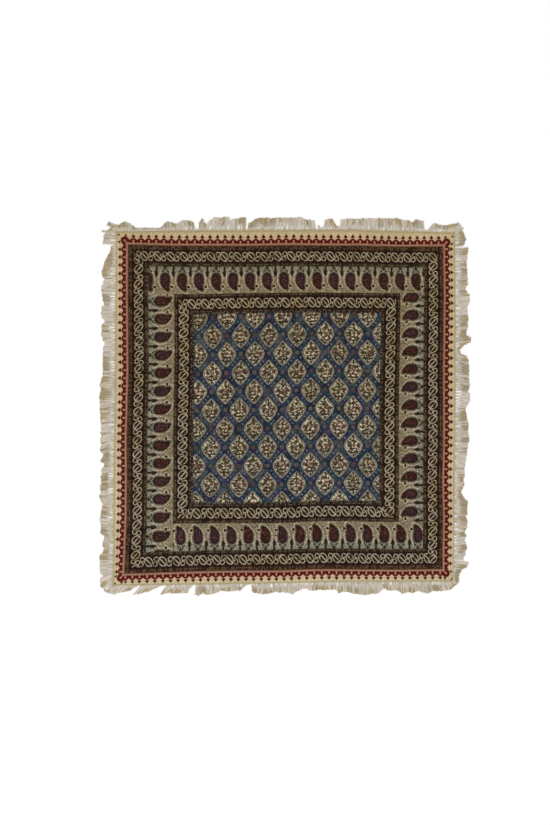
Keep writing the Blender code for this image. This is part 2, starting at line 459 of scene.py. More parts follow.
@dataclass(frozen=True)
class Cotton:
    """Woven cotton that carries a print. Each kind of block is one sort of it.

    A block repeats at its pitch. Its motif stands at a share of the repeat, the middle, and a lift
    out across the row, and may miss its place by the sway. The print's lines wander a little
    everywhere. Each layer of wear has its clouds a metre, their detail and their share. The top
    shade range is where up the cloth, in metres, the painted shade that darkens and warms the print
    towards the top sets in. Other sizes are in mm.
    """

    name: str
    pitch: float = 0.0
    middle: float = 0.5
    lift: float = 0.0
    sway: float = 0.0
    wander: float = 0.7
    wander_scale: float = 330.0
    wear: Sequence[tuple[float, float, float]] = ((520.0, 1.0, 0.85), (190.0, 2.0, 0.6), (9.0, 2.0, 0.3))
    least_dye: float = 0.12
    aged: tuple[float, float] = (-0.38, 0.42)
    thread_pitch: float = 0.85
    weft_share: float = 0.94
    slubs: tuple[float, float] = (260.0, 1.6)
    relief: float = 0.16

    def draw(self, ink: Ink, u: Value, v: Value) -> None:
        """Draw the print, where u counts repeats along the row and v is mm out across it."""
        raise NotImplementedError

    def material(self) -> bpy.types.Material:
        """Make the material.

        Returns:
            The material, with the print, the uneven dye, the painted shade towards the top and the
            weave.
        """
        graph = Graph(self.name)
        chart = graph.node("UVMap", {}, uv_map=PrintedCloth.PRINT_MAP)
        u, v, _ = graph.parts(chart.outputs[0], "XYZ")
        ink = Ink(graph)
        self.draw(ink, u, v)
        looks = {"Base Color": self.worn_and_shaded(ink), "Normal": self.weave(graph)}
        return graph.surface({**looks, **COTTON_SHEEN})

    def worn_and_shaded(self, ink: Ink) -> bpy.types.NodeSocket:
        """Make the dye uneven, as hand printing and washing leave it, and paint shade over the print
        that darkens and warms it towards the top of the cloth.

        Args:
            ink: The clean print.

        Returns:
            The print's colour with its wear and the painted shade towards the top.
        """
        graph = ink.graph
        strength: Number = self.least_dye
        for scale, detail, share in self.wear:
            strength = graph.cloud(scale, detail).times_plus(share, strength)
        # Painted shade: the print is darkened and warmed towards the top of the cloth, white at the
        # foot.
        head = graph.parts(graph.where, "XYZ")[1].rise(*self.aged)
        shade_tone = graph.blend(Dye.AGED_FOOT, Dye.AGED_HEAD, head)
        aged = graph.node("VectorMath", {0: ink.colour, 1: shade_tone}, operation="MULTIPLY")
        return graph.scaled(aged.outputs[0], strength)

    def weave(self, graph: Graph) -> bpy.types.NodeSocket:
        """Raise the threads.

        Args:
            graph: The material's graph.

        Returns:
            The surface's direction over a plain weave with slubs.
        """
        turn = 2.0 * math.pi / (self.thread_pitch * MM)
        x, y, _ = graph.parts(graph.where, "XYZ")
        weft = (y * (turn * self.weft_share)).wave()
        scale, thickness = self.slubs
        height = (x * turn).wave().times_plus(weft, graph.cloud(scale) * thickness)
        return graph.bump(height, 0.55, self.relief * MM)

    def repeat(self, u: Value, v: Value) -> tuple[Place, tuple[Value, ...]]:
        """Place a point in its own repeat of the block, each a little off as hand printed.

        Args:
            u: How many repeats along the row.
            v: How far out across the row, in mm.

        Returns:
            The point from the motif's middle, and three numbers drawn for the repeat.
        """
        drawn = u.graph.chance(u.floor())
        spot = self.wandering(Place(u.part(self.pitch, self.middle), v - self.lift))
        return spot.shaken(drawn, self.sway), drawn

    def wandering(self, spot: Place) -> Place:
        """Return a point off its place as the printed lines wander."""
        return spot.shaken(spot.x.graph.clouds(self.wander_scale), 2.0 * self.wander)


@dataclass(frozen=True)
class HemPrint(Cotton):
    """The outermost rows: buds on arches over a pink line, with the bare margin."""

    pitch: float = 20.8
    sway: float = 0.7
    line_top: float = 5.4
    arch_top: float = 19.6

    def draw(self, ink: Ink, u: Value, v: Value) -> None:
        """Draw the buds, the arches and the line.

        Args:
            ink: The print's ink.
            u: Repeats along the row.
            v: Mm out across the row.
        """
        half = self.repeat(u, v)[0].folded()
        crest = half.x.rise(3.6, 8.6).times_plus(5.0, self.arch_top + 1.0)
        arch = half.seen_from(0.0, 9.2).disc(10.4) | half.y - 14.3
        flare = half.y.rise(9.0, 6.6).times_plus(1.4, 1.5)
        keyhole = half.seen_from(0.0, 12.0).disc(2.4) | (half.x - flare & half.y - 12.0)
        spire = half.y.times_plus(0.55, half.x) - 17.2 & 23.8 - half.y
        stem = half.x - 1.2 & abs(half.y - 21.5) - 3.0
        ink.colour = Dye.HEM_CREAM
        ink.stamp(Dye.HALO_PINK, half.y - crest, 2.6)
        ink.stamp(Dye.MADDER_RED, arch, 0.9)
        ink.stamp(Dye.DEEP_RED, arch + 1.5, 2.0, half.x.rise(5.0, 9.0))
        ink.stamp(Dye.ARCH_PINK, keyhole)
        ink.stamp(Dye.BUD_BROWN, spire | half.seen_from(2.3, 23.6).disc(2.9) | stem)
        rim = half.x.rise(6.0, 10.0).times_plus(0.9, self.line_top)
        below = (half.y - rim).inside(0.9)
        ink.lay(Dye.LINE_PINK, below)
        bead = Place((u * 4.0).part(self.pitch / 4.0), v)
        dark = bead.seen_from(0.0, 4.7).disc(1.25) & 0.0 - below
        ink.stamp(Dye.MADDER_RED, dark, 0.6, 0.8)
        ink.stamp(Dye.HEM_CREAM, bead.seen_from(2.6, 3.3).disc(1.0), 0.6)
        ink.stamp(Dye.LINE_RUST, half.y - 2.0, 1.6)


@dataclass(frozen=True)
class HemCornerPrint(Cotton):
    """The corner block of the hem's rows: one arch and one bud, turned to the corner."""

    line_top: float = 6.3

    def draw(self, ink: Ink, u: Value, v: Value) -> None:
        """Draw the corner.

        Args:
            ink: The print's ink.
            u: Mm out towards the side.
            v: Mm out towards the top or bottom.
        """
        far, near = u & v, u | v
        ring = Place(u, v).seen_from(10.0, 11.4)
        slit = ring.turned(45.0)
        tip = Place(abs(near - 6.8), far)
        spire = tip.x + far * 0.5 - 16.0 & 24.0 - far
        bud = spire | tip.seen_from(2.2, 24.2).disc(2.0)
        ink.colour = Dye.HEM_CREAM
        ink.stamp(Dye.HALO_PINK, far - 23.5, 2.6)
        ink.stamp(Dye.MADDER_RED, ring.disc(11.6) | (far - 14.6 & near - 12.0), 0.9)
        ink.stamp(Dye.ARCH_PINK, ring.disc(3.0) | (abs(slit.y) - 1.3 & slit.x))
        ink.stamp(Dye.BUD_BROWN, bud | Place(near, far).seen_from(27.0, 29.0).disc(2.6))
        ink.stamp(Dye.LINE_PINK, far - self.line_top, 0.8)
        ink.stamp(Dye.LINE_RUST, far - 2.0, 1.6)


@dataclass(frozen=True)
class LinePrint(Cotton):
    """A plain printed line with rows of small ticks."""

    ground: Dye = Dye.BLACK
    tick: Dye = Dye.BLACK_TICK
    tick_pitch: float = 4.3

    def draw(self, ink: Ink, u: Value, v: Value) -> None:
        """Draw the line.

        Args:
            ink: The print's ink.
            u: Mm along the row.
            v: Mm out across the row.
        """
        across = v * (1.0 / self.tick_pitch)
        row = across.floor()
        along = u * (1.0 / self.tick_pitch) + row * 0.5
        cell = Place(along.part(self.tick_pitch), across.part(self.tick_pitch))
        drawn = u.graph.chance(along.floor(), row)
        ink.colour = self.ground
        ink.stamp(self.tick, cell.oval(1.5, 1.8), share=drawn[0].rise(0.2, 0.9))


@dataclass(frozen=True)
class GuardPrint(Cotton):
    """The chain of ovals and paired rings between two dark lines."""

    pitch: float = 36.6
    lift: float = 13.0
    sway: float = 0.8

    def draw(self, ink: Ink, u: Value, v: Value) -> None:
        """Draw the chain.

        Args:
            ink: The print's ink.
            u: Repeats along the row.
            v: Mm out across the row.
        """
        spot, drawn = self.repeat(u, v)
        inked = u.graph.cloud(110.0)
        cream = Ink(u.graph, Dye.CHAIN_CREAM)
        cream.lay(Dye.CHAIN_YELLOW, drawn[2].rise(0.4, 1.0))
        cream.lay(Dye.BOTEH_RING, inked.rise(0.50, 0.66) * 0.8)
        cream.lay(Dye.CHAIN_LEAF, inked.rise(0.48, 0.32) * 0.7)
        upper = u.graph.math("SIGN", spot.y)
        ring = Place((u + 0.5).part(self.pitch) - upper * 1.4, abs(spot.y) - 6.3)
        oval = spot.turned(-60.0).oval(13.8, 10.6)
        ink.stamp(cream.colour, ring.disc(6.7), 0.9)
        ink.stamp(Dye.CHAIN_LEAF, ring.disc(4.5), 0.9)
        ink.stamp(Dye.BLACK, oval - 1.0, 0.9, 0.8)
        ink.stamp(cream.colour, oval, 0.9)
        ink.stamp(Dye.CHAIN_LEAF, oval + 2.2 & 1.3 - abs(spot.turned(-45.0).y))


@dataclass(frozen=True)
class BotehPrint(Cotton):
    """The broad row of paisley cones, each with its dot flower, bud and sprig."""

    pitch: float = 46.6
    middle: float = 0.42
    lift: float = 37.0
    sway: float = 0.9
    half_width: float = 13.0
    tail: float = 30.0
    crown: float = 17.0
    bend: float = 0.0166

    def body(self, spot: Place) -> tuple[Value, Value]:
        """Shape one cone: a round crown outwards and a tail that bends as it runs in.

        Args:
            spot: The point, from the cone's widest place.

        Returns:
            The cone's shape, and the direction from its middle.
        """
        inward = spot.y * -1.0 & 0.0
        late = inward - 8.0 & 0.0
        bent = (late * late).times_plus(-self.bend, spot.x)
        deep = inward * (1.0 / self.tail)
        power = spot.y.rise(-4.0, 4.0).times_plus(0.30, 2.00)
        scaled = Place(abs(bent) * (1.0 / self.half_width), deep & spot.y * (1.0 / self.crown))
        line = (scaled.rounded(power) - 1.0) * (deep * deep).times_plus(13.0, 12.5)
        return line, Place(bent, spot.y + 4.0).angle()

    def draw(self, ink: Ink, u: Value, v: Value) -> None:
        """Draw the row.

        Args:
            ink: The print's ink.
            u: Repeats along the row.
            v: Mm out across the row.
        """
        spot, drawn = self.repeat(u, v)
        flat = Place(u * self.pitch, v)
        mottle = u.graph.cloud(210.0, 2.0)
        ink.colour = Dye.GROUND_WARM
        ink.lay(Dye.GROUND_COOL, spot.y.rise(-12.0, 20.0))
        ink.lay(Dye.GROUND_YELLOW, u.graph.cloud(34.0).rise(0.46, 0.66) * 0.5)
        ink.lay(Dye.BOTEH_RING, mottle.rise(0.46, 0.32) * 0.4)
        ink.lay(Dye.GROUND_SPECK, mottle.rise(0.52, 0.68) * 0.6)
        seed, shade = flat.seeds(5.4, 1.6)
        ink.stamp(Dye.GROUND_SPECK, seed, 1.4, shade.rise(0.4, 1.0) * 0.9)
        self.cone(ink, spot, flat, mottle, drawn)
        self.plants(ink, spot)

    def cone(self, ink: Ink, spot: Place, flat: Place, mottle: Value, drawn: Sequence[Value]) -> None:
        """Print the cone with its pale ring, its filling and its dot flower.

        Args:
            ink: The print's ink, with the ground laid.
            spot: The point, from the cone's widest place.
            flat: The point on the row, in mm.
            mottle: How the ink takes here.
            drawn: Three numbers drawn for this cone.
        """
        line, around = self.body(spot)
        flower = spot.seen_from(18.6, -18.8)
        teeth = (around * 21.0).wave()
        halo = line - 6.2 | flower.disc(6.0)
        ink.stamp(Dye.GROUND_SPECK, halo + 2.0, 2.0, 0.1)
        ink.stamp(Dye.BOTEH_RING, abs(halo + 1.3) - 1.3, share=mottle.rise(0.66, 0.50))
        ink.stamp(Dye.GROUND_SPECK, teeth + (line - 1.8), 2.0, 0.4)
        curl = spot.seen_from(12.6, -16.6).turned(12.0).oval(2.6, 4.8)
        body = teeth.times_plus(1.4, line) & curl * -1.0
        ink.stamp(Dye.BOTEH_EDGE, body | flower.flower(3.6, 0.12))
        filling = ink.graph.blend(Dye.BOTEH_RED, Dye.BOTEH_PLUM, drawn[2].rise(0.2, 0.7))
        ink.stamp(filling, line + 4.0 & 2.6 - curl, 4.0, spot.y.rise(-28.0, -18.0))
        ink.stamp(Dye.BOTEH_EDGE, line + 1.0, 2.0, mottle.rise(0.46, 0.58) * 0.65)
        bloom, shade = flat.seeds(4.2, 1.3)
        strewn = (line + 4.4).inside(1.2) * shade.rise(0.3, 0.9)
        ink.stamp(Dye.BOTEH_SPECK, bloom, 1.2, strewn * drawn[1].times_plus(0.6, 0.4))

    def plants(self, ink: Ink, spot: Place) -> None:
        """Print the hanging bud between two cones and the sprig above a cone.

        Args:
            ink: The print's ink.
            spot: The point, from the cone's widest place.
        """
        bud = spot.seen_from(self.pitch / 2.0 - 0.2, 17.0).folded()
        share = bud.y.over(bud.y.rise(-2.0, 2.0).times_plus(-3.6, 11.4))
        drop = bud.x + (share * share).times_plus(5.6, -5.6)
        ink.stamp(Dye.LEAF_GREEN, drop | (bud.x - 3.1 & abs(bud.y - 12.0) - 5.4), 1.2)
        half = spot.folded()
        blade = half.seen_from(7.0, 21.6).turned(-34.0).oval(5.8, 2.0)
        prong = half.seen_from(3.4, 28.6).turned(-34.0).oval(3.0, 1.7)
        stalk = half.x - 1.8 & abs(spot.y - 28.0) - 5.6
        ink.stamp(Dye.SPRIG_GREEN, blade | prong | stalk | spot.seen_from(0.0, 30.6).disc(3.2))


@dataclass(frozen=True)
class FieldPrint(Cotton):
    """The middle: ogee medallions in a lattice of spotted blue bands."""

    wander: float = 0.75
    sway: float = 1.2
    across: float = 76.5
    up: float = 100.75
    spots: int = 6

    def draw(self, ink: Ink, u: Value, v: Value) -> None:
        """Draw the field.

        Args:
            ink: The print's ink.
            u: Medallions along the rising diagonal.
            v: Medallions along the falling diagonal.
        """
        near_u, near_v = (u + 0.5).floor(), (v + 0.5).floor()
        drawn = u.graph.chance(near_u, near_v)
        side_u, side_v = u - near_u, v - near_v
        self.band(ink, side_u, side_v)
        spot = Place((side_u + side_v) * (self.across / 2.0), (side_u - side_v) * (self.up / 2.0))
        spot = self.wandering(spot)
        self.rosette(ink, spot, u.graph.chance(u.floor(), v.floor()))
        self.medallion(ink, spot.shaken(drawn, self.sway), drawn)

    def band(self, ink: Ink, side_u: Value, side_v: Value) -> None:
        """Draw the blue lattice with its spots.

        Args:
            ink: The print's ink.
            side_u: The share of a step from the nearest medallion, on one diagonal.
            side_v: The same on the other.
        """
        cloud = ink.graph.cloud
        first, second, third = ink.graph.clouds(64.0)
        ink.colour = Dye.NAVY
        ink.lay(Dye.TEAL, first.rise(0.44, 0.60))
        ink.lay(Dye.VIOLET, second.rise(0.50, 0.64) * 0.8)
        ink.lay(Dye.BAND_GREY, cloud(38.0).rise(0.48, 0.62) * 0.7)
        ink.lay(Dye.BAND_DARK, third.rise(0.50, 0.62) * 0.7)
        lane = 1.0 / math.hypot(1.0 / self.across, 1.0 / self.up)
        step = math.hypot(self.across, self.up) / 2.0 / self.spots
        dots = [
            Place((0.5 - abs(beside)) * lane, (onwards * float(self.spots)).part(step)).oval(3.0, 2.4)
            for beside, onwards in ((side_u, side_v), (side_v, side_u))
        ]
        found = dots[0] | dots[1]
        ink.stamp(Dye.BAND_DARK, found - 1.3, 1.4, 0.6)
        ink.stamp(Dye.SPOT_BLUE, found, 1.4, cloud(70.0).rise(0.36, 0.58))

    def rosette(self, ink: Ink, spot: Place, drawn: Sequence[Value]) -> None:
        """Draw the small flowers where the bands cross.

        Args:
            ink: The print's ink, with the lattice laid.
            spot: The point, from the nearest medallion's middle.
            drawn: Three numbers drawn for this crossing.
        """
        beside = Place(abs(spot.x) - self.across / 2.0, spot.y)
        away = beside.reach() | Place(spot.x, abs(spot.y) - self.up / 2.0).reach()
        bloom = Ink(ink.graph, Dye.ROSE_PINK)
        bloom.lay(Dye.ROSE_GREEN, drawn[0].rise(0.45, 0.55))
        bloom.lay(Dye.ROSE_DARK, drawn[1].rise(0.70, 0.74) * 0.6)
        ink.stamp(Dye.BAND_DARK, away - 7.6, 1.6, 0.7)
        ink.stamp(bloom.colour, away - 4.8, 1.4)
        ink.stamp(Dye.ROSE_DARK, away - 2.0, 1.2, 0.9)

    def outline(self, spot: Place, size: Value) -> Value:
        """Shape the medallion: a tall tip above and a fuller, blunter foot.

        Args:
            spot: The point, from the middle.
            size: A number drawn for this medallion.

        Returns:
            The medallion's shape.
        """
        top = spot.y.rise(-3.0, 3.0)
        far = abs(spot.y).rise(4.0, 26.0)
        wide = (abs(spot.x) * (1.0 / 25.2)).over(size.times_plus(0.08, 0.96))
        tall = abs(spot.y).over(top.times_plus(-0.8, 34.6))
        power = far.times_plus(top.times_plus(-0.18, -0.12), 1.46)
        return Place(wide, tall).rounded(power).times_plus(22.0, -22.0)

    def medallion(self, ink: Ink, spot: Place, drawn: Sequence[Value]) -> None:
        """Draw one medallion with its flowers.

        Args:
            ink: The print's ink, with what lies around it.
            spot: The point, from its middle.
            drawn: Three numbers drawn for this medallion.
        """
        blend = ink.graph.blend
        line = self.outline(spot, drawn[2])
        grain = ink.graph.cloud(165.0)
        ink.stamp(Dye.BAND_DARK, line - 1.6, 1.4, 0.7)
        ink.stamp(Dye.MEDAL_LINE, line + 0.4, 1.2)
        ink.stamp(blend(Dye.MEDAL_GROUND, Dye.MEDAL_SHADE, drawn[1].rise(0.2, 1.0)), line + 1.8)
        ends = (spot.angle() * 30.0).wave().rise(-0.5, 0.4).times_plus(0.45, 0.5)
        ink.stamp(Dye.MEDAL_BEAD, abs(line + 2.9) - 1.4, 0.8, ends * 0.85)
        ink.stamp(Dye.MEDAL_BEAD, line + 0.6, 1.4, grain.rise(0.47, 0.53) * 0.55)
        inside = (line + 4.4).inside()
        ink.lay(Dye.STEM_BROWN, grain.rise(0.51, 0.54) * inside * 0.8)
        sown = Place(drawn[0].times_plus(97.0, spot.x * 0.62), drawn[1].times_plus(61.0, spot.y))
        seed, shade = sown.seeds(4.4, 1.7)
        leaf = blend(Dye.STEM_BROWN, Dye.FLOWER_OLIVE, shade.rise(0.4, 0.8))
        ink.stamp(leaf, seed + 0.3, 0.8, inside * 0.8)
        buds = spot.folded(0.6).seen_from(8.6, 9.6).turned(-50.0).oval(4.0, 1.6)
        side = spot.seen_from(-11.3, -0.4).flower(4.8) | spot.seen_from(0.9, 13.6).flower(4.4) | buds
        ink.stamp(blend(Dye.FLOWER_BROWN, Dye.FLOWER_OLIVE, drawn[2].rise(0.4, 0.6)), side)
        big = spot.seen_from(14.0, 0.4).flower(5.4) | spot.folded().seen_from(8.8, -10.4).flower(2.8)
        ink.stamp(blend(Dye.FLOWER_RUST, Dye.FLOWER_BROWN, drawn[0].rise(0.35, 0.65)), big)
        middle = spot.seen_from(1.6, 0.8)
        ink.stamp(Dye.FLOWER_PINK, middle.disc(4.8), share=0.8)
        ink.stamp(Dye.STEM_BROWN, spot.oval(17.0, 26.0), 6.0, grain.rise(0.42, 0.50) * 0.4)
        bowl = abs(spot.seen_from(0.0, -11.0).oval(13.4, 7.6)) - 1.7 & spot.y + 14.0
        dark = middle.turned(35.0).oval(3.6, 1.6) | bowl
        for x, y, wide, tall in ((-0.6, -8.4, 5.8, 1.9), (0.4, 24.6, 2.3, 4.4), (0.0, -24.8, 2.4, 3.4)):
            dark = dark | spot.seen_from(x, y).oval(wide, tall)
        ink.stamp(Dye.STEM_BROWN, dark)


@dataclass(frozen=True)
class BackCotton(Cotton):
    """The underside: bare cotton, with the dark rows showing through."""

    def draw(self, ink: Ink, u: Value, v: Value) -> None:
        """Shade the back by the print above it, where u is 1 over a dark row."""
        ink.colour = Dye.BACK_CLOTH
        ink.lay(Dye.OLIVE, u * 0.45)


@dataclass(frozen=True)
class YarnFinish:
    """Soft cotton yarn, cream where it starts and tan at its ends."""

    name: str

    def material(self) -> bpy.types.Material:
        """Make the material.

        Returns:
            The material, coloured by how far out along the yarn a point is.
        """
        graph = Graph(self.name)
        along, tint = (
            Value(graph, graph.node("Attribute", {}, attribute_name=name).outputs["Fac"])
            for name in (Fringe.ALONG, Fringe.TINT)
        )
        patch, fine = graph.cloud(40.0), graph.cloud(900.0, 2.0)
        tan = graph.blend(Dye.YARN_TAN, Dye.YARN_OLIVE, patch.rise(0.44, 0.58))
        # The yarn turns tan towards its ends, in patches, and more so for a lock with a high tint.
        tan_towards_ends = patch.times_plus(0.8, along - 0.4).rise(0.2, 0.7)
        ink = Ink(graph, graph.blend(Dye.YARN_CREAM, Dye.YARN_GREY, along.rise(0.05, 0.3)))
        ink.lay(tan, tan_towards_ends * tint.rise(0.0, 0.7))
        colour = graph.scaled(ink.colour, fine.times_plus(0.3, tint.times_plus(-0.06, 0.88)))
        looks = {"Base Color": colour, "Normal": graph.bump(fine, 0.6, 0.0002)}
        return graph.surface({**looks, **YARN_SHEEN})


class Kind(Enum):
    """The kinds of cloth surface, each with its finish, in the order of the cloth's slots."""

    HEM = HemPrint("hem_print")
    CORNER = HemCornerPrint("hem_corner")
    PLUM = LinePrint("plum_line", ground=Dye.PLUM, tick=Dye.PLUM_TICK)
    BLACK = LinePrint("black_line")
    OLIVE = LinePrint("olive_line", ground=Dye.OLIVE, tick=Dye.OLIVE_TICK)
    BROWN = LinePrint("brown_line", ground=Dye.OLIVE, tick=Dye.BROWN_TICK, tick_pitch=5.2)
    GUARD = GuardPrint("guard_chain")
    BOTEH = BotehPrint("boteh_row")
    FIELD = FieldPrint("medallion_field")
    BACK = BackCotton("plain_back")


# The printed rows from the hem inwards, and the numbers of those that are asked for by name.
ROWS = (Kind.HEM,) * 4 + (
    Kind.PLUM, Kind.BLACK, Kind.GUARD, Kind.BLACK, Kind.OLIVE, Kind.BOTEH, Kind.OLIVE, Kind.BLACK,
    Kind.GUARD, Kind.BLACK, Kind.BROWN, Kind.FIELD,
)
PINK_LINE, OUTER_GUARD, CONES, INNER_GUARD, FIELD = 3, 6, 9, 12, 15
# What a row shows of its block, from its inner to its outer line in mm. Plain lines show all.
BLOCK_SPANS = {
    0: (31.0, 38.0), 1: (19.6, 31.0), 2: (6.3, 19.6), PINK_LINE: (0.0, 6.3),
    OUTER_GUARD: (0.0, 26.0), CONES: (0.0, 69.0), INNER_GUARD: (0.0, 26.0),
}
ENDS = ((Side.LEFT, Side.RIGHT), (Side.BOTTOM, Side.TOP))


@dataclass(frozen=True)
class SidePlan:
    """Where one side's rows, blocks and fringe lie, in the side's own view, in mm.

    The lines run from the hem inwards and part the rows. A row's marks give (place along the
    side, number of the block) for its motifs, and the hem's four rows share the pink line's.
    The hem and the two drifts say how far the lines wander along the side. The reach and the
    lean say how far out, and how far along from its root, a yarn ends.
    """

    lines: tuple[float, ...]
    marks: dict[int, Knots]
    hem: Knots
    outer_drift: Knots
    inner_drift: Knots
    reach: Knots
    lean: Knots

    def hem_at(self, along: float) -> float:
        """Return how far out the cloth's hem is at a place along the side."""
        return read_knots(self.hem, along, onwards=True)

    def row_at(self, out: float) -> int:
        """Return the number of the row at a place outwards, where 0 is the margin."""
        return max(0, sum(line > out for line in self.lines) - 1)

    def chart(self, row: int, along: float, out: float) -> tuple[float, float]:
        """Give a place its coordinates on a row's print.

        Args:
            row: The row's number.
            along: The place along the side.
            out: The place outwards from the middle of the cloth.

        Returns:
            The repeats up to the place, or mm on a plain line, and mm out across the block.
        """
        marks = self.marks.get(max(row, PINK_LINE))
        if marks is not None:
            along = read_knots(marks, along, onwards=True) + ROWS[row].value.middle
        outer, inner = self.lines[row], self.lines[row + 1]
        low, high = BLOCK_SPANS.get(row, (0.0, outer - inner))
        return along, low + (high - low) * (out - inner) / (outer - inner)


